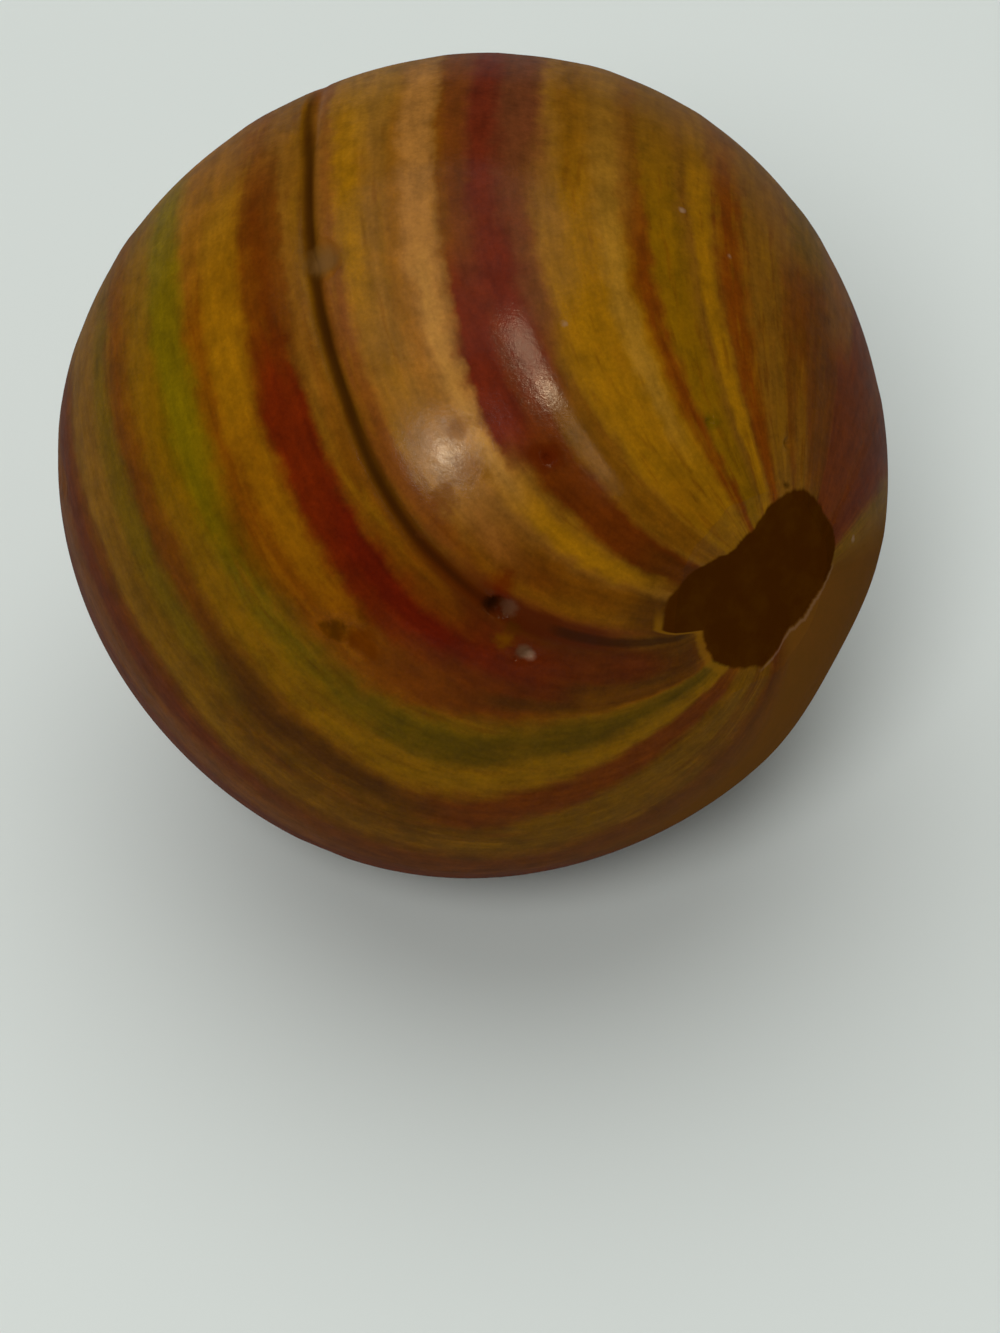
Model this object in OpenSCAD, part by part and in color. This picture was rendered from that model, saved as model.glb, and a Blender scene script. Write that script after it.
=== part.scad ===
// A handmade glass marble. Canes of coloured glass lie side by side round an amber body. They were
// twisted together while soft, the marble was rolled round, and the end that broke from the rod was
// ground away, so the dark core shows there.
// The origin is the middle of the ball and +Z is up. The marble's own angles are a longitude and an
// angle from the ground end, both about the axis that the canes turn round.

/* [Ball] */
// Widest distance across the ball
ball_d = 17.75; // [12:0.05:25]
// What the radius of a rolled face has over the ball's own: more makes the face flatter
roll_flatter = 0.55; // [0.3:0.05:1.5]
// Depth of a rolled face below the round ball
roll_depth = 0.15; // [0.05:0.01:0.25]
// Depth of the one rolled face that is deeper than the others
deep_roll_depth = 0.21; // [0.05:0.01:0.3]

/* [Canes] */
// Turn of the canes from the ground end to the far end, in degrees
cane_twist = 124; // [0:1:180]
// Height that a cane stands proud of the amber glass
cane_proud = 0.02; // [0.015:0.005:0.06]
// Gap between two canes that lie side by side, in degrees of longitude
seam_gap = 1; // [0.5:0.25:2]

/* [Crease] */
// Width of the open crease between two canes
crease_w = 0.26; // [0.08:0.02:0.4]
// Depth of the crease at its middle
crease_depth = 0.12; // [0.06:0.01:0.2]
// Longitude of the crease where it crosses the middle of the marble
crease_at = 38; // [37:0.5:40]
// Lean of the crease across the canes, in degrees
crease_lean = 3.5; // [0:0.5:5]
// Angle from the ground end to where the crease starts
crease_from = 43; // [30:1:60]
// Angle from the ground end to where the crease runs out
crease_to = 122; // [90:1:140]

/* [Ground faces] */
// Depth ground off the end, which bares the core
end_depth = 0.26; // [0.15:0.01:0.5]
// Lean of the ground end away from square to the axis, in degrees
end_lean = 6; // [0:0.5:8]
// Longitude that the ground end leans to
end_lean_to = 20; // [-180:5:180]
// Depth of the second face, ground beside the first
side_depth = 0.15; // [0.05:0.01:0.3]
// Angle from the axis to the middle of the second face
side_angle = 35; // [30:1:45]
// Longitude of the second face
side_at = 169; // [-180:1:180]
// Depth ground off the far end
far_depth = 0.12; // [0.08:0.01:0.4]

/* [Pits and chips] */
// Width of the bubble that lies open in the crease
bubble_w = 0.64; // [0.3:0.02:1]
// Depth of the open bubble
bubble_depth = 0.14; // [0.05:0.01:0.3]
// Width of the burst bubble where the crease starts
burst_w = 0.42; // [0.2:0.02:0.8]
// Depth of the burst bubble
burst_depth = 0.2; // [0.1:0.01:0.4]
// Width of a flake chip
chip_w = 1.1; // [0.5:0.05:2]
// Depth of a flake chip
chip_depth = 0.08; // [0.04:0.01:0.15]
// Width of a small pit
pit_w = 0.32; // [0.16:0.02:0.5]
// Depth of a small pit
pit_depth = 0.07; // [0.05:0.01:0.1]

/* [Rest] */
// Rise of the ground end above the horizontal, in degrees
rest_rise = 13.8; // [-90:0.1:90]
// Bearing of the ground end from +X towards +Y, in degrees
rest_bearing = -41.9; // [-180:0.1:180]
// Turn of the marble about its own axis, in degrees
rest_turn = -137.5; // [-180:0.1:180]

/* [Hidden] */
$fn = 120;

// Colours of the body, of the core that the ground end bares, and of the glass of each kind of cane
body_glass = "peru";
core_glass = "#4a2c10";
cane_glasses = [
  ["yellow", "goldenrod"],
  ["green", "olivedrab"],
  ["red", "firebrick"],
  ["orange", "chocolate"],
  ["maroon", "sienna"],
];

// Canes in order round the marble: glass, then first and last longitude at the ground end
canes = [
  ["yellow", -150, -131],
  ["red", -131, -112],
  ["maroon", -112, -82],
  ["yellow", -82, -70],
  ["orange", -65, -49],
  ["yellow", -46, -41],
  ["green", -37, -29],
  ["yellow", -26, -18],
  ["yellow", -15, -5],
  ["red", -1, 13],
  ["yellow", 14, 20],
  ["red", 46, 57],
  ["orange", 57, 70],
  ["green", 70, 78],
  ["yellow", 78, 86],
  ["maroon", 86, 95],
  ["yellow", 95, 112],
  ["maroon", 112, 131],
];
cane_start = 4; // angle from each end where the canes stop, inside what is ground off
cane_steps = 30; // steps along a cane
cane_reach = 0.8; // how far the strip that shapes a cane goes under and over the ball
crease_steps = 26; // steps along the crease
crease_lift = 0.1; // how far the cutter of the crease stands clear of the ball

// Rolled faces: longitude, angle from the ground end, depth
rolled = [
  [-53, 121, deep_roll_depth],
  [-126, 49, roll_depth],
  [117, 55, roll_depth],
  [72, 105, roll_depth],
  [0, 62, roll_depth],
  [180, 118, roll_depth],
];

// Marks: longitude of the cane line that they lie on, angle from the ground end
bubble_at = [36.5, 83];
burst_at = [41, 44];
chips_at = [[146, 87.5], [124, 123], [129, 128]];
pits_at = [[47.5, 39.5], [49, 41], [10, 43], [65, 64], [67, 66], [63, 62.5], [-62, 20], [-31, 28]];

ball_r = ball_d / 2;
roll_r = ball_r + roll_flatter;
cut_size = 3 * ball_d; // side of the blocks that cut the ground faces

// Direction at a longitude and an angle from the ground end
function dir(lon, t) = [sin(t) * cos(lon), sin(t) * sin(lon), cos(t)];

// Longitude, at angle t, of the cane line that starts from longitude u: the twist carries it round
function lay(u, t) = u - cane_twist / 2 * (1 - cos(t));

// Angle between a cane line and the meridian that it crosses
function slant(t) = atan(cane_twist / 2 * PI / 180 * sin(t) ^ 2);

// Centre of the sphere that shapes a rolled face
function roll_centre(face) = -(roll_flatter + face[2]) * dir(face[0], face[1]);

// Distance from the origin to a sphere of radius r about c, along d
function to_sphere(d, c, r) = c * d + sqrt(r * r - c * c + (c * d) ^ 2);

// Distance from the origin to the ball's skin along d
function skin(d) = min([ball_r, for (f = rolled) to_sphere(d, roll_centre(f), roll_r)]);

// Faces of a closed tube through rings of points, each ring with the same number of corners
function tube_faces(rings, corners) = concat(
  [[for (j = [corners - 1:-1:0]) j]],
  [for (i = [0:rings - 2], j = [0:corners - 1]) let (k = (j + 1) % corners)
    [i * corners + j, i * corners + k, (i + 1) * corners + k, (i + 1) * corners + j]],
  [[for (j = [0:corners - 1]) (rings - 1) * corners + j]]);

// The ball as it was rolled, drawn larger by grow all over
module ball(grow = 0) {
  intersection() {
    sphere(ball_r + grow);
    intersection_for(f = rolled)
      translate(roll_centre(f)) sphere(roll_r + grow);
  }
}

// A strip that follows the twist between two cane lines and goes right through the ball's skin
module strip(from, to) {
  angles = [for (i = [0:cane_steps]) cane_start + (180 - 2 * cane_start) * i / cane_steps];
  corners = [[-cane_reach, from], [cane_reach, from], [cane_reach, to], [-cane_reach, to]];
  polyhedron(
    points = [for (t = angles, c = corners) (ball_r + c[0]) * dir(lay(c[1], t), t)],
    faces = tube_faces(cane_steps + 1, 4));
}

// All the canes of one glass, each cut from a slightly larger ball
module canes_of(glass) {
  intersection() {
    ball(cane_proud);
    for (c = canes)
      if (c[0] == glass) strip(c[1] + seam_gap / 2, c[2] - seam_gap / 2);
  }
}

// The V cut of the crease, which is deepest at its middle and runs out at both ends
module crease() {
  slope = crease_w / 2 / crease_depth;
  rings = [for (i = [0:crease_steps])
    let (
      s = i / crease_steps,
      t = crease_from + (crease_to - crease_from) * s,
      lon = lay(crease_at + crease_lean * cos(t) / sin(t), t),
      floor_r = skin(dir(lon, t)) - crease_depth * sqrt(sin(180 * s)),
      top_r = ball_r + crease_lift,
      half = (top_r - floor_r) * slope / (ball_r * sin(t) * cos(slant(t))) * 180 / PI)
    [floor_r * dir(lon, t), top_r * dir(lon - half, t), top_r * dir(lon + half, t)]];
  polyhedron(points = [for (r = rings) each r], faces = tube_faces(crease_steps + 1, 3));
}

// Puts a mark on the skin, on the cane line u at angle t
module on_skin(place) {
  lon = lay(place[0], place[1]);
  rotate([0, place[1], lon]) translate([0, 0, skin(dir(lon, place[1]))]) children();
}

// A round hollow of a width and a depth, cut by a ball
module scoop(width, depth) {
  r = (width ^ 2 / 4 + depth ^ 2) / (2 * depth);
  translate([0, 0, r - depth]) sphere(r);
}

// Everything beyond a flat face that is square to the pole, turned to the face's own direction
module ground_off(lean, lon, depth) {
  rotate([0, lean, lon])
    translate([0, 0, ball_r - depth + cut_size / 2]) cube(cut_size, center = true);
}

module marble() {
  rotate([0, 90 - rest_rise, rest_bearing]) rotate(rest_turn)
    difference() {
      union() {
        color(body_glass) ball();
        for (g = cane_glasses) color(g[1]) canes_of(g[0]);
      }
      color(core_glass) {
        ground_off(end_lean, end_lean_to, end_depth);
        ground_off(side_angle, side_at, side_depth);
        ground_off(180, 0, far_depth);
        crease();
        on_skin(burst_at) scoop(burst_w, burst_depth);
        for (p = pits_at) on_skin(p) scoop(pit_w, pit_depth);
      }
      color(body_glass) {
        on_skin(bubble_at) scoop(bubble_w, bubble_depth);
        for (p = chips_at) on_skin(p) scoop(chip_w, chip_depth);
      }
    }
}

marble();
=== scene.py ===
import math
import bmesh
import bpy
from mathutils import Matrix, Vector


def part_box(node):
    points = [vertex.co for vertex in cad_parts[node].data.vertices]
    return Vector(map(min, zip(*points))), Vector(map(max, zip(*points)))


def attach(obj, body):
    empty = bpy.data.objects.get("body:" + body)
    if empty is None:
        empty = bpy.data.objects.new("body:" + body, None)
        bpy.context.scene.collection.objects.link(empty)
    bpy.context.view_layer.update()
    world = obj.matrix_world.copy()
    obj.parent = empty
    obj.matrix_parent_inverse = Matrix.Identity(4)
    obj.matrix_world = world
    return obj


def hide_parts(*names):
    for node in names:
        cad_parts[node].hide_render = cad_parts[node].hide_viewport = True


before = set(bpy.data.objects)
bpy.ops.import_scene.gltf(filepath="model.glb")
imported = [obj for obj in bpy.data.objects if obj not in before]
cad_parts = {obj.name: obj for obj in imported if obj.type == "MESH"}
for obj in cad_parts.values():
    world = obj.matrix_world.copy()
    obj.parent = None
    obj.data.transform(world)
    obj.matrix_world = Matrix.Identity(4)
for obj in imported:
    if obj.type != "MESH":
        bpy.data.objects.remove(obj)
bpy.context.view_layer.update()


# ---------------------------------------------------------------- The marble
# One solid piece of opaque glass. Canes of coloured glass lie side by side round an amber body, and
# were twisted together with it while it was soft. It was rolled round, and the end that broke from
# the rod was ground flat, which bares the dark core.

low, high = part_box("marble")
cane_proud = 0.00002  # height that the canes stand proud of the body glass
ball_r = max(high - low) / 2 - cane_proud
meridians = 360  # one for each degree, so that every cane edge falls on one
parallels = 180
cane_twist = 124.0  # degrees, from the ground end to the far end
fine_cut = 1e-7  # how near a cut may pass to a corner before it goes through it

# The ball is made with its ground end straight up, and is turned to its rest at the very end.
bpy.ops.object.select_all(action="DESELECT")
bpy.ops.mesh.primitive_uv_sphere_add(segments=meridians, ring_count=parallels, radius=ball_r)
ball = bpy.context.object
ball.name = "glass_marble"
bpy.ops.object.mode_set(mode="EDIT")


def longitude(place):
    """Angle round the marble's own axis, in degrees."""
    return math.degrees(math.atan2(place.y, place.x))


def from_end(place):
    """Angle from the ground end, in degrees."""
    return math.degrees(math.acos(place.z / place.length))


def pick(wanted):
    """Picks the corners of the ball's mesh for which wanted(place) is true, and what lies between them."""
    bpy.ops.mesh.select_all(action="DESELECT")
    mesh = bmesh.from_edit_mesh(ball.data)
    for corner in mesh.verts:
        corner.select = wanted(corner.co)
    mesh.select_flush(True)
    bmesh.update_edit_mesh(ball.data)


# Canes that stand proud, by their first and last longitude before the twist. Each is fattened over
# a narrower strip each time and then smoothed, so that its back comes out round.
proud_canes = [(-150, -112), (-82, -70), (-46, -41), (-26, -16), (-3, 14), (46, 57), (86, 95), (112, 130)]
fattenings = 3
narrower = 1.2  # degrees that each fattening keeps back from the edges of the one before
edge_slack = 0.1  # degrees, so that the corners on an edge count as inside
for turn in range(fattenings):
    kept_back = turn * narrower - edge_slack
    strips = [(first + kept_back, last - kept_back) for first, last in proud_canes]
    pick(lambda place: any(first < longitude(place) < last for first, last in strips))
    bpy.ops.transform.shrink_fatten(value=cane_proud / fattenings)
bpy.ops.mesh.select_all(action="SELECT")
bpy.ops.mesh.vertices_smooth(factor=0.5, repeat=2)

# The crease is an open seam between two canes, and leans across them a little. Its middle and its
# edges are cut as lines. What lies between is pressed in by turns, each of them narrower and shorter
# than the one before, so that the crease is deepest along its middle and runs out at both ends.
crease_at = 38  # longitude before the twist, half way down
crease_lean = 3.5  # degrees
crease_from, crease_to = 43, 122  # angles from the ground end
crease_half = 0.00016  # half its width
crease_depth = 0.00012
crease_presses = 6
shorter = 0.8  # degrees that the second press starts late: the third 4 times as much, then 9 times
shorter_far = 2.5  # times as much as that it stops early, because the crease runs out slowly there
crease_way = Vector((math.cos(math.radians(crease_at)), math.sin(math.radians(crease_at)), 0))
across = Matrix.Rotation(-math.radians(crease_lean), 3, crease_way) @ crease_way.cross(Vector((0, 0, -1)))


def by_crease(place, reach):
    """Whether a place is within reach of the crease's middle line."""
    return abs(place.dot(across)) < reach and place.dot(crease_way) > 0


for shift in (-crease_half, -crease_half / 2, 0, crease_half / 2, crease_half):
    pick(lambda place: by_crease(place, 5 * crease_half))
    bpy.ops.mesh.bisect(plane_co=shift * across, plane_no=across, threshold=fine_cut)
for turn in range(crease_presses):
    narrowed = crease_half * (1 - (turn + 0.5) / crease_presses)
    start = crease_from + shorter * turn ** 2
    end = crease_to - shorter_far * shorter * turn ** 2
    pick(lambda place: by_crease(place, narrowed) and start < from_end(place) < end)
    bpy.ops.transform.shrink_fatten(value=-crease_depth / crease_presses)
pick(lambda place: by_crease(place, 3 * crease_half))
bpy.ops.mesh.vertices_smooth(factor=0.5, repeat=6)
bpy.ops.object.mode_set(mode="OBJECT")

# The twist carries every cane round with it. It turns the two ends by equal and opposite angles, so
# the ball is turned back until the ground end has its longitudes again.
twist = ball.modifiers.new("Twist", "SIMPLE_DEFORM")
twist.deform_method = "TWIST"
twist.deform_axis = "Z"
twist.angle = math.radians(cane_twist)
bpy.ops.object.modifier_apply(modifier=twist.name)
ball.rotation_euler.z = -math.radians(cane_twist / 2)
bpy.ops.object.transform_apply(location=False, rotation=True, scale=False)
bpy.ops.object.mode_set(mode="EDIT")


def toward(turned, down):
    """Direction at a longitude and an angle from the ground end, after the twist."""
    tilt = Matrix.Rotation(math.radians(down), 3, "Y")
    return Matrix.Rotation(math.radians(turned), 3, "Z") @ tilt @ Vector((0, 0, 1))


def on_cane(line, down):
    """Direction on a cane line, which the twist has carried round."""
    return toward(line - cane_twist / 2 * (1 - math.cos(math.radians(down))), down)


def press(way, depth, reach, falloff):
    """Presses the skin in round the point that lies that way, less and less out to reach."""
    mesh = bmesh.from_edit_mesh(ball.data)
    spot = min(mesh.verts, key=lambda corner: (corner.co - ball_r * way).length).co.copy()
    pick(lambda place: (place - spot).length < fine_cut)
    bpy.ops.transform.translate(
        value=-depth * way,
        use_proportional_edit=True,
        proportional_edit_falloff=falloff,
        proportional_size=reach,
    )


# Rolling left the ball out of round: longitude and angle from the ground end of each flatter face,
# and its depth. Each face is part of a ball whose radius is larger by roll_flatter.
roll_flatter = 0.00055
roll_depth, deep_roll_depth = 0.00015, 0.00021
roll_soften = 1.4  # times the face's own reach, so that its edge is left soft
rolled_faces = [
    (-53, 121, deep_roll_depth),
    (-126, 49, roll_depth),
    (117, 55, roll_depth),
    (72, 105, roll_depth),
    (0, 62, roll_depth),
    (180, 118, roll_depth),
]
for turned, down, depth in rolled_faces:
    reach = ball_r * math.sqrt(2 * depth / (roll_flatter + depth) * (1 + roll_flatter / ball_r))
    press(toward(turned, down), depth, roll_soften * reach, "SMOOTH")

# The face ground beside the bared core has worn round, so it is pressed flat and runs out softly.
worn_at, worn_down = 169, 35  # longitude and angle from the ground end
worn_depth = 0.00015
worn_soften = 1.7  # times the reach of a plain cut of that depth
press(toward(worn_at, worn_down), worn_depth, worn_soften * math.sqrt(2 * ball_r * worn_depth), "SMOOTH")

# Ground faces: longitude and angle from the ground end that each one faces, and the depth ground off.
# The first bares the core, and the other is where the far end was dressed.
ground_faces = [(20, 6, 0.00026), (0, 180, 0.00012)]
for turned, down, depth in ground_faces:
    way = toward(turned, down)
    bpy.ops.mesh.select_all(action="SELECT")
    bpy.ops.mesh.bisect(
        plane_co=(ball_r - depth) * way, plane_no=way, use_fill=True, clear_outer=True, threshold=fine_cut
    )
    bpy.ops.mesh.mark_sharp()

# Marks: a bubble that lies open in the crease and one that burst where it starts, small pits and
# flake chips. Each row has the cane line and angle from the ground end, the width and depth, the cuts
# that the mesh there needs, and the hollow's form.
pit_w, pit_depth = 0.00032, 0.00007
pits_at = [(47.5, 39.5), (49, 41), (10, 43), (65, 64), (67, 66), (63, 62.5), (-62, 20), (-31, 28)]
chip_w, chip_depth = 0.0011, 0.00008
chips_at = [(146, 87.5), (124, 123), (129, 128)]
marks = [(36.5, 83, 0.00064, 0.00014, 2, "SPHERE"), (41, 44, 0.00042, 0.0002, 3, "SPHERE")]
marks += [(*spot, pit_w, pit_depth, 3, "SMOOTH") for spot in pits_at]
marks += [(*spot, chip_w, chip_depth, 1, "SMOOTH") for spot in chips_at]
for line, down, width, depth, cuts, form in marks:
    way = on_cane(line, down)
    pick(lambda place: (place - place.length * way).length < width / 2 + ball_r / meridians)
    bpy.ops.mesh.subdivide(number_cuts=cuts)
    press(way, depth, width / 2, form)
bpy.ops.mesh.select_all(action="SELECT")
bpy.ops.mesh.faces_shade_smooth()
bpy.ops.object.mode_set(mode="OBJECT")

# Turned to its rest: the ground end rises a little above the level and faces the front right.
rest_rise, rest_bearing, rest_turn = (math.radians(angle) for angle in (13.8, -41.9, -137.5))
rest = (
    Matrix.Rotation(rest_bearing, 4, "Z")
    @ Matrix.Rotation(math.pi / 2 - rest_rise, 4, "Y")
    @ Matrix.Rotation(rest_turn, 4, "Z")
)
ball.rotation_euler = rest.to_euler()
bpy.ops.object.transform_apply(location=False, rotation=True, scale=False)

# Colours, as the maker would call them: the glasses, then the core, the dull skin, dirt that also
# stands for painted shade, ash, and chalk that also stands for a painted glint.
glasses = {
    "amber": (0.164, 0.0640, 0.0035),
    "tan": (0.214, 0.0890, 0.0095),
    "gold": (0.246, 0.1029, 0.0013),
    "straw": (0.268, 0.1253, 0.0104),
    "cream": (0.380, 0.1750, 0.0300),
    "peach": (0.285, 0.1184, 0.0207),
    "apricot": (0.246, 0.0847, 0.0069),
    "orange": (0.180, 0.0536, 0.0005),
    "honey": (0.138, 0.0467, 0.0007),
    "sienna": (0.138, 0.0346, 0.0005),
    "rust": (0.099, 0.0182, 0.0003),
    "russet": (0.149, 0.0320, 0.0003),
    "copper": (0.177, 0.0536, 0.0061),
    "rosewood": (0.125, 0.0346, 0.0078),
    "brown": (0.056, 0.0164, 0.0004),
    "maroon": (0.091, 0.0164, 0.0009),
    "claret": (0.112, 0.0207, 0.0009),
    "oxblood": (0.080, 0.0095, 0.0007),
    "mulberry": (0.108, 0.0242, 0.0069),
    "crimson": (0.112, 0.0121, 0.0026),
    "scarlet": (0.119, 0.0112, 0.0003),
    "red": (0.093, 0.0061, 0.0003),
    "umber": (0.105, 0.0389, 0.0003),
    "olive": (0.099, 0.0432, 0.0003),
    "moss": (0.138, 0.0605, 0.0003),
    "mustard": (0.177, 0.0778, 0.0003),
    "bottle": (0.062, 0.0328, 0.0003),
    "leaf": (0.114, 0.0666, 0.0003),
    "lime": (0.143, 0.0933, 0.0003),
    "core": (0.046, 0.0118, 0.0003),
    "dun": (0.145, 0.0622, 0.0078),
    "soot_and_shade": (0.019, 0.0052, 0.0007),
    "ash": (0.108, 0.0536, 0.0259),
    "chalk_and_glint": (0.311, 0.1901, 0.1124),
}

marble_glass = bpy.data.materials.new("banded_glass")
marble_glass.use_nodes = True
tree = marble_glass.node_tree
glass_shader = tree.nodes["Principled BSDF"]


def feed(socket, value):
    """Gives a node's socket a number, a colour or what another socket sends."""
    if isinstance(value, bpy.types.NodeSocket):
        tree.links.new(value, socket)
    else:
        socket.default_value = value


def reckon(operation, *terms):
    """What a Math node makes of its terms."""
    step = tree.nodes.new("ShaderNodeMath")
    step.operation = operation
    for socket, term in zip(step.inputs, terms):
        feed(socket, term)
    return step.outputs[0]


def plus(first, second):
    """Their sum."""
    return reckon("ADD", first, second)


def times(first, second):
    """Their product."""
    return reckon("MULTIPLY", first, second)


def larger(first, second):
    """The larger of the two."""
    return reckon("MAXIMUM", first, second)


def swing(noise, width, middle=0.0):
    """Makes a noise from 0 to 1 swing by a width about a middle."""
    return reckon("MULTIPLY_ADD", noise, width, middle - width / 2)


def ramp_up(value, start, end, before=0.0, after=1.0):
    """Goes smoothly from before to after as value goes from start to end."""
    step = tree.nodes.new("ShaderNodeMapRange")
    step.interpolation_type = "SMOOTHSTEP"
    # This curve stays between its two ends, and clamping it too makes the glass too large to render.
    step.clamp = False
    terms = {"Value": value, "From Min": start, "From Max": end, "To Min": before, "To Max": after}
    for name, term in terms.items():
        feed(step.inputs[name], term)
    return step.outputs["Result"]


def strip_of(value, first, last, soft):
    """1 between first and last, with edges that are soft wide."""
    inside = ramp_up(value, first - soft / 2, first + soft / 2)
    beyond = ramp_up(value, last - soft / 2, last + soft / 2, 1.0, 0.0)
    return times(inside, beyond)


def lay_on(under, glass, share):
    """Lays a glass over what is there, by its share."""
    step = tree.nodes.new("ShaderNodeMix")
    step.data_type = "RGBA"
    feed(step.inputs["Factor"], share)
    feed(step.inputs["A"], under)
    feed(step.inputs["B"], (*glasses[glass], 1.0) if isinstance(glass, str) else glass)
    return step.outputs["Result"]


def grain(where, scale, detail=2.0, rough=0.5):
    """A Noise Texture, 0 to 1."""
    step = tree.nodes.new("ShaderNodeTexNoise")
    feed(step.inputs["Vector"], where)
    feed(step.inputs["Scale"], scale)
    feed(step.inputs["Detail"], detail)
    feed(step.inputs["Roughness"], rough)
    return step.outputs["Fac"]


# Places on the glass are found in the marble's own frame, with the ground end straight up.
here = tree.nodes.new("ShaderNodeTexCoord").outputs["Object"]
upright = tree.nodes.new("ShaderNodeMapping")
feed(upright.inputs["Vector"], here)
upright.inputs["Rotation"].default_value = rest.inverted().to_euler()
place = upright.outputs["Vector"]
parts = tree.nodes.new("ShaderNodeSeparateXYZ")
feed(parts.inputs["Vector"], place)
reach_out = tree.nodes.new("ShaderNodeVectorMath")
reach_out.operation = "LENGTH"
feed(reach_out.inputs[0], place)
height = reckon("DIVIDE", parts.outputs["Z"], reach_out.outputs["Value"])
down = reckon("DEGREES", reckon("ARCCOSINE", height))
turned = reckon("DEGREES", reckon("ARCTAN2", parts.outputs["Y"], parts.outputs["X"]))
carried = times(reckon("SUBTRACT", 1.0, height), cane_twist / 2)
line = reckon("WRAP", plus(turned, carried), 180.0, -180.0)

# Strands run along the canes: a place on a cane line hardly changes from one end to the other.
# Threads change more slowly still.
strand_run = 75.0  # degrees along a cane that count as much as one radius across it
thread_slowness = 0.45
strand = tree.nodes.new("ShaderNodeCombineXYZ")
line_angle = reckon("RADIANS", line)
feed(strand.inputs["X"], reckon("COSINE", line_angle))
feed(strand.inputs["Y"], reckon("SINE", line_angle))
feed(strand.inputs["Z"], reckon("DIVIDE", down, strand_run))
strand = strand.outputs["Vector"]
stretch = tree.nodes.new("ShaderNodeVectorMath")
stretch.operation = "MULTIPLY"
feed(stretch.inputs[0], strand)
feed(stretch.inputs[1], (1.0, 1.0, thread_slowness))
thread = stretch.outputs["Vector"]

# The canes wander a little, and near the ground end those on the sides were dragged round.
# Their edges shiver, and one glass bleeds a little into the next.
wander = swing(grain(strand, 1.6), 5.0)
shiver = swing(grain(strand, 9.0, 2.0), 3.0)
bleed = swing(grain(place, 2600.0, 3.0), 3.6)
dragged = ramp_up(down, 62.0, 14.0, 0.0, 11.0)
sides = larger(strip_of(line, 58.0, 106.0, 12.0), strip_of(line, -92.0, -68.0, 10.0))
cane_line = plus(line, plus(wander, plus(shiver, bleed)))
cane_line = plus(cane_line, times(dragged, sides))

# Canes that run from end to end: glass, first and last line, and how soft the edges are, in degrees.
# The later ones lie over the earlier ones.
canes = [
    ("moss", -152, -131, 9),
    ("olive", -81, -73, 7),
    ("moss", -75, -65, 6),
    ("amber", -66, -51, 5),
    ("russet", -51.5, -44.5, 5),
    ("gold", -43.5, -38, 3.5),
    ("amber", -38.5, -35, 3),
    ("mustard", -36, -27.5, 4),
    ("russet", -28, -22, 3.5),
    ("gold", -23.5, -14.5, 5),
    ("gold", -15, -3, 5),
    ("amber", -4, 1.5, 5),
    ("tan", 21, 35, 6),
    ("copper", 33, 38, 3),
    ("honey", 42, 48.5, 4),
    ("sienna", 47, 58, 4),
    ("orange", 57, 72, 6),
    ("moss", 71, 88, 6),
    ("leaf", 72, 80, 6),
    ("honey", 87, 98, 6),
    ("umber", 95, 115, 7),
]
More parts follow.
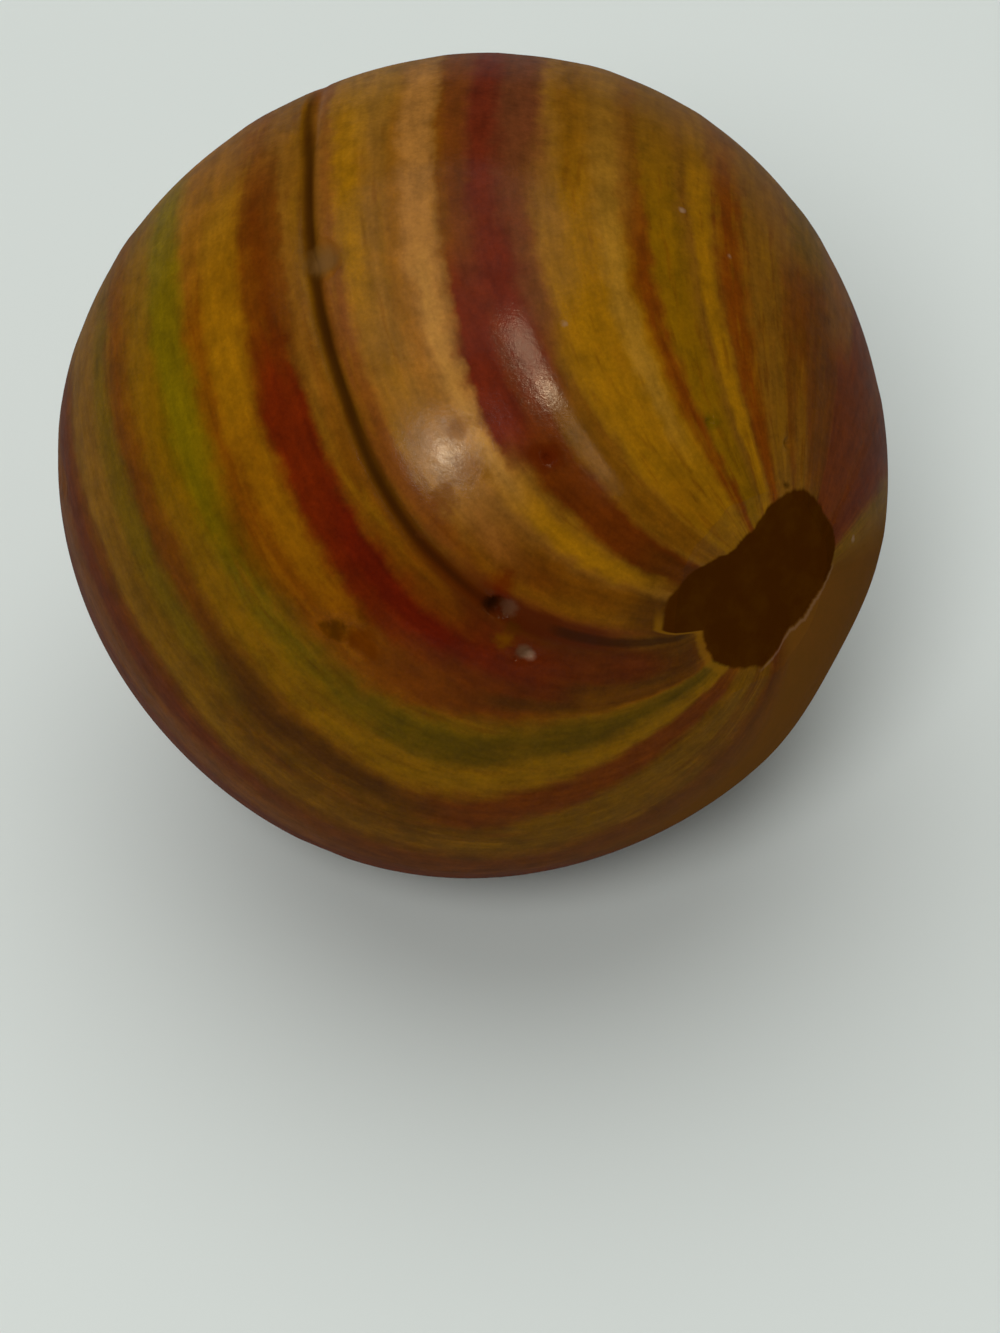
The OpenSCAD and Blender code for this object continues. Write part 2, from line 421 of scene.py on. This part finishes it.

# Canes and threads that start or end on the way, and two rows of painted light, marked where they
# stand: glass and share, first and last line and how soft the edges are, where they start and end, how
# soft the ends are, and how far they lean on the way.
short_canes_and_painted_light = [
    ("maroon", 1.0, 113, 150, 8, 0, 180, 1, 0),
    ("maroon", 1.0, 146, 192, 12, 0, 180, 1, 0),
    ("maroon", 1.0, -192, -146, 12, 0, 180, 1, 0),
    ("claret", 1.0, -132, -110, 7, 0, 180, 1, 0),
    ("claret", 1.0, -112, -79, 8, 0, 180, 1, 0),
    ("oxblood", 0.5, -126, -116, 5, 8, 44, 12, 0),
    ("rust", 0.5, -120, -108, 5, 10, 30, 8, 0),
    ("tan", 0.3, -152, -140, 5, 14, 30, 8, 0),
    ("rust", 0.7, -80, -63, 5, 12, 46, 10, 0),
    ("tan", 0.45, -92, -76, 5, 36, 76, 8, 0),
    ("tan", 0.8, -26, -18, 5, 56, 110, 16, 0),
    ("honey", 0.6, -17, -11.5, 3, 66, 102, 10, 0),
    ("tan", 0.9, -12, -5, 4, 56, 92, 16, 0),
    ("straw", 0.8, -21.5, -17, 3, 30, 86, 14, -2.5),
    ("honey", 0.4, -14, -6, 4, 10, 27, 6, 0),
    ("amber", 0.7, -62, -16, 20, 62, 100, 24, 0),
    ("honey", 0.8, -3, 6, 4, 14, 46, 14, 0),
    ("rust", 1.0, 8, 17.5, 3, 15, 50, 6, -4),
    ("brown", 0.6, 9, 20, 4, 11, 26, 6, 0),
    ("crimson", 1.0, -2, 15.3, 4, 46, 70, 10, -2),
    ("rosewood", 0.8, -6, 0, 4, 50, 76, 8, 0),
    ("mulberry", 1.0, -3, 10.3, 4, 66, 186, 12, 0),
    ("mulberry", 1.0, -9, 0, 5, 71, 122, 10, 0),
    ("rosewood", 0.6, -9, -1, 5, 66, 112, 12, -2),
    ("crimson", 0.8, 0, 6, 5, 60, 112, 16, -2),
    ("sienna", 0.3, 6, 14, 4, 44, 60, 10, 0),
    ("sienna", 0.6, 6, 13, 4, 68, 112, 16, -2),
    ("gold", 0.9, 17.5, 22.5, 3, 25, 62, 10, -1),
    ("apricot", 0.6, 17.5, 24, 3, 58, 98, 14, -3),
    ("amber", 0.35, 19, 24.5, 3, 68, 92, 10, 0),
    ("peach", 1.0, 14.5, 21, 4, 48, 104, 14, -3),
    ("honey", 0.9, 24, 36, 4, 16, 50, 10, 0),
    ("brown", 0.8, 22, 40, 4, 11, 26, 6, 0),
    ("rust", 0.35, 22, 31, 4, 27, 50, 8, 0),
    ("rust", 0.5, 27, 33, 4, 36, 50, 7, 0),
    ("rust", 0.5, 35, 42, 4, 26, 48, 8, 0),
    # Painted shade: the next row darkens one shoulder of the crease, where its groove is in shade.
    ("rust", 0.35, 33.5, 39, 3, 46, 70, 10, 0),
    ("copper", 0.6, 31.5, 35, 3, 66, 96, 10, 0),
    ("sienna", 0.4, 41, 44.5, 2, 54, 84, 10, 0),
    ("gold", 0.9, 27, 32, 4, 74, 108, 14, 0),
    ("straw", 0.35, 18, 29, 4, 92, 116, 10, 0),
    ("rust", 0.6, 41, 50, 4, 44, 57, 8, 0),
    ("brown", 0.8, 41, 58, 5, 14, 38, 9, 0),
    ("oxblood", 0.65, 43, 53, 5, 22, 40, 6, 0),
    ("oxblood", 0.9, 43, 62, 5, 35, 49, 9, 0),
    ("tan", 0.45, 42, 48, 4, 72, 112, 16, 0),
    # Painted highlight: the next row is a pale haze painted about the gleam of the small oval lamp.
    ("peach", 0.45, 17, 31, 6, 44, 63, 12, 0),
    ("cream", 0.6, 17.8, 20.6, 2.5, 46, 72, 8, -2),
    ("crimson", 1.0, 9, 17.5, 2.5, 47, 61, 6, -2),
    ("red", 1.0, 50, 61, 4.5, 44, 84, 14, -3),
    ("scarlet", 0.5, 55, 60.5, 3, 54, 80, 8, -2),
    ("scarlet", 1.0, 48.3, 56.5, 3.5, 68, 83, 9, 0),
    ("rust", 0.7, 44.5, 51, 3, 80, 106, 10, 0),
    ("tan", 0.3, 42, 56, 4, 102, 150, 10, 0),
    ("brown", 0.7, 56, 69, 5, 15, 50, 9, 0),
    ("oxblood", 0.6, 54, 64, 4, 35, 49, 6, 0),
    ("rust", 0.8, 57, 70, 6, 40, 60, 12, 0),
    ("brown", 0.75, 62, 66.5, 3, 34, 46, 6, 0),
    ("rust", 0.35, 64, 74, 5, 58, 86, 12, 0),
    ("gold", 0.5, 58, 65, 5, 68, 90, 14, 0),
    ("gold", 0.75, 55.5, 65, 4, 84, 107, 8, -2),
    ("straw", 0.35, 54, 82, 6, 102, 150, 12, 0),
    ("olive", 0.6, 70, 82, 5, 14, 50, 16, 0),
    ("bottle", 0.65, 73.5, 81, 4, 10, 66, 18, 0),
    ("mustard", 0.6, 78, 85, 4, 14, 66, 10, 5),
    ("rust", 0.9, 85.5, 95.5, 4, 12, 60, 10, 6),
    ("brown", 0.9, 90, 98, 6, 58, 84, 14, 0),
    ("brown", 0.6, 87, 98, 5, 74, 104, 12, 0),
    ("brown", 0.35, 100, 115, 5, 60, 100, 12, 0),
    ("brown", 0.35, 114, 124, 6, 8, 40, 10, 0),
    ("moss", 0.5, 99, 111, 5, 10, 50, 10, 0),
    ("moss", 0.3, 108, 116, 5, 48, 62, 8, 0),
    ("sienna", 0.6, 86, 93, 5, 84, 120, 12, -3),
    ("lime", 0.9, 69, 78, 5, 86, 126, 14, 0),
    ("straw", 0.3, 34, 38, 3, 84, 108, 12, 0),
    ("moss", 0.8, 95, 114, 7, 84, 150, 14, 0),
    ("leaf", 0.7, 93, 100, 5, 84, 124, 14, 0),
    ("mustard", 0.6, 78, 86, 5, 64, 122, 14, 0),
    ("tan", 0.4, 98, 112, 7, 102, 150, 16, 0),
    ("gold", 0.2, 106, 112, 5, 60, 112, 20, 0),
    ("umber", 0.3, 112, 130, 8, 14, 84, 16, 0),
    ("rust", 0.7, 111, 118, 4, 90, 130, 10, 0),
    ("tan", 0.25, 122, 134, 5, 80, 150, 12, 0),
]
colour = (*glasses["amber"], 1.0)
for glass, first, last, soft in canes:
    colour = lay_on(colour, glass, strip_of(cane_line, first, last, soft))

# Finer threads lie over these, some golden and some rusty, and the glass is cloudy.
clouds = grain(place, 1700.0, 5.0, 0.62)
colour = lay_on(colour, "gold", times(ramp_up(grain(thread, 19.0, 3.0), 0.50, 0.68), 0.30))
colour = lay_on(colour, "rust", times(ramp_up(grain(thread, 27.0, 3.0), 0.52, 0.70), 0.35))
colour = lay_on(colour, "honey", times(ramp_up(clouds, 0.50, 0.72), 0.30))
for glass, share, first, last, soft, start, end, fade, lean in short_canes_and_painted_light:
    leaning = cane_line
    if lean:
        leaning = reckon("SUBTRACT", cane_line, ramp_up(down, start, end, 0.0, lean))
    along = times(strip_of(down, start, end, fade), share)
    colour = lay_on(colour, glass, times(strip_of(leaning, first, last, soft), along))

# Every cane has lighter and darker streaks along it, and fine mottling.
tone = swing(grain(thread, 30.0, 2.0), 0.6, 1.0)
tone = times(tone, swing(clouds, 1.0, 1.0))
tone = times(tone, swing(grain(place, 11000.0, 2.0, 0.7), 0.5, 1.0))
shade = tree.nodes.new("ShaderNodeVectorMath")
shade.operation = "SCALE"
feed(shade.inputs[0], colour)
feed(shade.inputs["Scale"], tone)
colour = shade.outputs["Vector"]

# The crease is painted dark with dirt and painted shade, and the glass on both sides of it is darkened
# with a stain and painted shade. The crease leans, bows a little between its two bubbles and turns
# aside where it runs out.
lean_here = times(reckon("DIVIDE", 1.0, reckon("TANGENT", reckon("RADIANS", down))), crease_lean)
bow = times(strip_of(down, 52, 68, 10), 0.7)
turn_aside = ramp_up(down, 92, 112, 0.0, 2.0)
off_crease = reckon("SUBTRACT", line, lean_here)
off_crease = reckon("SUBTRACT", off_crease, crease_at - 0.05)
off_crease = reckon("SUBTRACT", off_crease, bow)
off_crease = reckon("SUBTRACT", off_crease, turn_aside)
unsteady = swing(grain(strand, 9.0, 3.0), 2.4)
near_crease = reckon("ABSOLUTE", reckon("MULTIPLY_ADD", unsteady, 0.2, off_crease))
along_crease = strip_of(down, 40, 114, 12)
crease_shade_and_dirt = times(ramp_up(near_crease, 1.6, 0.0), along_crease)
crease_shade_and_stain_width = plus(swing(grain(strand, 5.0, 3.0), 2.4, 2.8), ramp_up(down, 58, 44, 0.0, 2.2))
crease_shade_and_stain = times(ramp_up(near_crease, crease_shade_and_stain_width, 0.3), strip_of(down, 38, 104, 22))
colour = lay_on(colour, "brown", times(crease_shade_and_stain, 0.8))
colour = lay_on(colour, "oxblood", times(crease_shade_and_stain, ramp_up(down, 64, 50, 0.0, 0.6)))
colour = lay_on(colour, "soot_and_shade", times(crease_shade_and_dirt, 0.6))

# From the burst bubble to the ground end the seam is closed: a dark red band, then a thin dark line.
seam_line = plus(line, unsteady)
red_seam = times(strip_of(seam_line, 36.8, 42.8, 2.5), strip_of(down, 27, 46, 9))
dark_seam = times(strip_of(seam_line, 38.6, 41.4, 1.8), strip_of(down, 17, 37, 5))
colour = lay_on(colour, "oxblood", times(red_seam, 0.85))
colour = lay_on(colour, "soot_and_shade", times(larger(times(red_seam, 0.4), dark_seam), 0.75))

# Blots: specks, smudges, what lies in the bubbles, pits and chips, and one painted glint. Each row
# has the cane line and angle from the ground end, the radius, how ragged its edge is, the glass that
# it looks like and the share of it.
blots = [
    # The first row is a painted glint: a pale spot where light glints off the skin.
    (23.7, 57.3, 0.5, 1.0, "chalk_and_glint", 0.6),
    (22.0, 54.6, 2.4, 1.0, "sienna", 0.4),
    (24.0, 51.6, 2.2, 1.0, "sienna", 0.3),
    (22.6, 49.4, 1.8, 1.0, "honey", 0.5),
    (33.0, 53.6, 3.0, 1.0, "rosewood", 0.5),
    (-6.2, 50.6, 0.6, 1.0, "chalk_and_glint", 0.4),
    (36.2, 83.1, 3.2, 0.3, "brown", 0.4),
    (36.2, 83.1, 2.5, 0.2, "straw", 0.45),
    (36.2, 83.1, 2.4, 0.3, "ash", 0.5),
    (36.5, 44.0, 2.3, 0.6, "red", 0.65),
    (41.0, 44.6, 1.4, 0.4, "soot_and_shade", 0.9),
    (43.5, 41.8, 2.0, 1.0, "brown", 0.7),
    (46.0, 42.4, 1.5, 0.8, "honey", 0.7),
    (39.9, 42.2, 1.3, 1.0, "ash", 0.45),
    (47.2, 40.0, 1.1, 0.6, "ash", 0.8),
    (47.7, 39.2, 0.9, 0.5, "chalk_and_glint", 0.4),
    (10.0, 43.2, 2.6, 0.8, "oxblood", 0.6),
    (10.0, 43.0, 1.5, 0.2, "oxblood", 0.9),
    (65.5, 64.5, 2.0, 1.0, "brown", 0.6),
    (67.5, 66.0, 1.6, 1.0, "brown", 0.6),
    (64.0, 61.0, 2.4, 1.0, "rust", 0.6),
    (60.5, 61.5, 1.2, 1.0, "brown", 0.5),
    (-48.0, 46.0, 0.5, 1.0, "chalk_and_glint", 0.5),
    (-37.0, 54.0, 0.5, 1.0, "chalk_and_glint", 0.6),
    (-59.0, 14.7, 0.7, 1.0, "soot_and_shade", 0.7),
    (-31.0, 28.0, 1.1, 1.0, "leaf", 0.6),
    (-139.0, 15.6, 0.6, 1.0, "chalk_and_glint", 0.6),
    (-171.0, 19.0, 0.9, 1.0, "brown", 0.8),
    (175.0, 14.0, 0.6, 1.0, "brown", 0.8),
]
outward = tree.nodes.new("ShaderNodeVectorMath")
outward.operation = "NORMALIZE"
feed(outward.inputs[0], place)
blots_and_glint = 0.0
for blot_line, blot_down, blot_reach, torn, glass, share in blots:
    gap = tree.nodes.new("ShaderNodeVectorMath")
    gap.operation = "DISTANCE"
    feed(gap.inputs[0], outward.outputs["Vector"])
    feed(gap.inputs[1], on_cane(blot_line, blot_down))
    edge = math.radians(blot_reach)
    ragged = plus(gap.outputs["Value"], swing(clouds, 4 * torn * edge))
    spot = times(ramp_up(ragged, 1.3 * edge, 0.2 * edge), share)
    colour = lay_on(colour, glass, spot)
    blots_and_glint = larger(blots_and_glint, spot)

# The ground patch reaches farther from the end on some sides than on others. Each row has the first
# and last cane line between which its reach changes, and by how much, in degrees.
patch_edge = swing(grain(strand, 7.0, 3.0), 1.6, 6.4)
patch_steps = [
    (-185, -110, 5.0),
    (-108, -70, 2.3),
    (-56, -30, -1.7),
    (-16, 30, 9.4),
    (35, 41, -6.8),
    (50, 104, -3.6),
    (100, 134, -4.6),
]
for first, last, more in patch_steps:
    patch_edge = plus(patch_edge, ramp_up(line, first, last, 0.0, more))
past_patch = reckon("SUBTRACT", down, patch_edge)
on_patch = ramp_up(past_patch, 0.35, -0.35)

# On the side that faces the table the canes fade under a dull skin, which ends in a thin pale ridge
# at the patch.
dull_side = larger(ramp_up(line, -132, -150), ramp_up(line, 112, 135))
dull_skin = times(dull_side, ramp_up(down, 62, 40))
colour = lay_on(colour, "dun", times(dull_skin, 0.65))
ridge_side = larger(ramp_up(line, -140, -150), ramp_up(line, 100, 110))
ridge = times(strip_of(past_patch, 0.2, 0.7, 0.5), ridge_side)
colour = lay_on(colour, "chalk_and_glint", times(ridge, 0.22))

# The core shows on the patch, and a golden rim lies along one side of it.
rim = times(strip_of(past_patch, 0.0, 1.3, 0.9), strip_of(line, 30, 74, 8))
colour = lay_on(colour, "gold", times(rim, 0.5))
core = lay_on((*glasses["core"], 1.0), "brown", ramp_up(clouds, 0.4, 0.7))
colour = lay_on(colour, core, on_patch)

# The crease with its dirt and painted shade, the blots and the painted glint, the ground patch and
# the dull skin hardly shine.
dull = times(ramp_up(near_crease, 2.4, 1.2), along_crease)
dull = larger(dull, on_patch)
dull = larger(dull, times(dull_skin, 0.8))
dull = larger(dull, ramp_up(blots_and_glint, 0.0, 0.8))

# The skin is worn: fine grain over a shallow orange peel. Its polish is thin and patchy.
peel_depth = 0.00002
most_polish = 0.088
peel = plus(times(grain(place, 9000.0, 3.0, 0.7), 0.5), times(clouds, 0.5))
skin = tree.nodes.new("ShaderNodeBump")
feed(skin.inputs["Height"], peel)
skin.inputs["Strength"].default_value = 0.3
skin.inputs["Distance"].default_value = peel_depth
feed(glass_shader.inputs["Normal"], skin.outputs["Normal"])
feed(glass_shader.inputs["Coat Normal"], skin.outputs["Normal"])
feed(glass_shader.inputs["Base Color"], colour)
feed(glass_shader.inputs["Roughness"], plus(swing(clouds, 0.3, 0.5), times(dull, 0.3)))
patchy = swing(grain(place, 4200.0, 3.0), 1.0, 1.0)
polish = times(patchy, reckon("MULTIPLY_ADD", dull, -most_polish, most_polish))
feed(glass_shader.inputs["Coat Weight"], polish)
glass_shader.inputs["Specular IOR Level"].default_value = 0.0
glass_shader.inputs["Coat Roughness"].default_value = 0.15
ball.data.materials.append(marble_glass)

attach(ball, "root")
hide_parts("marble")


# ---------------------------------------------------------------- The table
# A plain sheet of matt, pale painted board, with nothing on it but the marble, which touches it only
# at its lowest point.

table_size = 4.0
bpy.ops.object.select_all(action="DESELECT")
bpy.ops.mesh.primitive_plane_add(size=table_size, location=(0, 0, low.z))
table = bpy.context.object
table.name = "table"
table_paint = bpy.data.materials.new("pale_table")
table_paint.use_nodes = True
table_shader = table_paint.node_tree.nodes["Principled BSDF"]
table_shader.inputs["Base Color"].default_value = (0.69, 0.73, 0.70, 1)
table_shader.inputs["Roughness"].default_value = 0.9
table_shader.inputs["Specular IOR Level"].default_value = 0.1
table.data.materials.append(table_paint)


# ---------------------------------------------------------------- Lamps
# A large lamp high over the marble and a small one close to the camera light it softly, and so does
# the room. A small oval lamp and a strip lamp are there for the two gleams on the glass alone.

view_rise = math.radians(45)
to_camera = Vector((0, -math.cos(view_rise), math.sin(view_rise)))
camera_up = Vector((0, math.sin(view_rise), math.cos(view_rise)))
camera_right = Vector((1, 0, 0))


def seen_at(right, up, near):
    """Direction by its parts to the camera's right, upwards in its picture and towards it."""
    return (right * camera_right + up * camera_up + near * to_camera).normalized()


def set_lamp(name, way, distance, along, width, length, watts):
    """An area lamp that lies that way from the marble and shines on it, its length lying along."""
    bpy.ops.object.light_add(type="AREA", location=distance * way)
    lamp = bpy.context.object
    lamp.name = name
    lamp.data.shape = "ELLIPSE"
    lamp.data.size = width
    lamp.data.size_y = length
    lamp.data.energy = watts
    side = along.cross(way).normalized()
    lamp.rotation_euler = Matrix((side, way.cross(side), way)).transposed().to_euler()
    return lamp


overhead = Vector((-0.15, 0.25, 1.0)).normalized()
set_lamp("sky_lamp", overhead, distance=1.0, along=camera_right, width=1.3, length=1.3, watts=5.8)
by_camera = seen_at(-0.17, 0.08, 0.98)
set_lamp("near_lamp", by_camera, distance=0.6, along=camera_up, width=0.2, length=0.2, watts=1.5)

# The small oval lamp, then the strip lamp in three pieces, as it is wide at its top, bright in its
# middle and narrow at its foot. Each row has the way to its middle and the way that it lies along,
# both as the camera sees them, its width, length and watts.
gleams = [
    ((-0.158, 0.071, 0.985), (0.40, -1.00, 0.00), 0.018, 0.050, 1.02),
    ((0.187, 0.495, 0.849), (0.12, -0.24, 0.12), 0.055, 0.170, 1.25),
    ((0.285, 0.333, 0.899), (0.07, -0.11, 0.02), 0.009, 0.045, 1.02),
    ((0.455, 0.108, 0.884), (0.28, -0.41, -0.10), 0.036, 0.280, 0.57),
]
gleam_away = 0.55
lamp_yellow = (1.0, 0.78, 0.50)
for middle, along, width, length, watts in gleams:
    lamp = set_lamp("gleam_lamp", seen_at(*middle), gleam_away, seen_at(*along), width, length, watts)
    lamp.data.color = lamp_yellow
    lamp.visible_diffuse = False

bpy.context.scene.world = bpy.data.worlds.new("room")
bpy.context.scene.world.use_nodes = True
room = bpy.context.scene.world.node_tree.nodes["Background"]
room.inputs["Color"].default_value = (0.80, 0.84, 0.82, 1)
room.inputs["Strength"].default_value = 0.29


# ---------------------------------------------------------------- Camera
# A long lens that looks down on the marble at 45 degrees. It is aimed below the marble's middle, so
# that the marble stands high in the picture.

picture_width, picture_height = 1000, 1333
ball_x, ball_y, ball_reach = 476.0, 466.5, 411.4  # pixels: the ball's middle and radius
ball_radii_away = 14.0
sight_r = 0.00875  # the ball's mean radius
away = ball_radii_away * sight_r
focal = ball_reach * math.sqrt(ball_radii_away ** 2 - 1)  # pixels
camera_data = bpy.data.cameras.new("camera")
camera_data.sensor_width = 36.0
camera_data.lens = focal * camera_data.sensor_width / picture_height
camera_data.clip_start = 0.01
camera = bpy.data.objects.new("camera", camera_data)
bpy.context.scene.collection.objects.link(camera)
camera.location = away * to_camera
aim_right = (picture_width / 2 - ball_x) * away / focal
aim_up = (ball_y - picture_height / 2) * away / focal
aim = aim_right * camera_right + aim_up * camera_up
camera.rotation_mode = "QUATERNION"
camera.rotation_quaternion = (camera.location - aim).to_track_quat("Z", "Y")
bpy.context.scene.camera = camera
bpy.context.scene.view_settings.view_transform = "Standard"
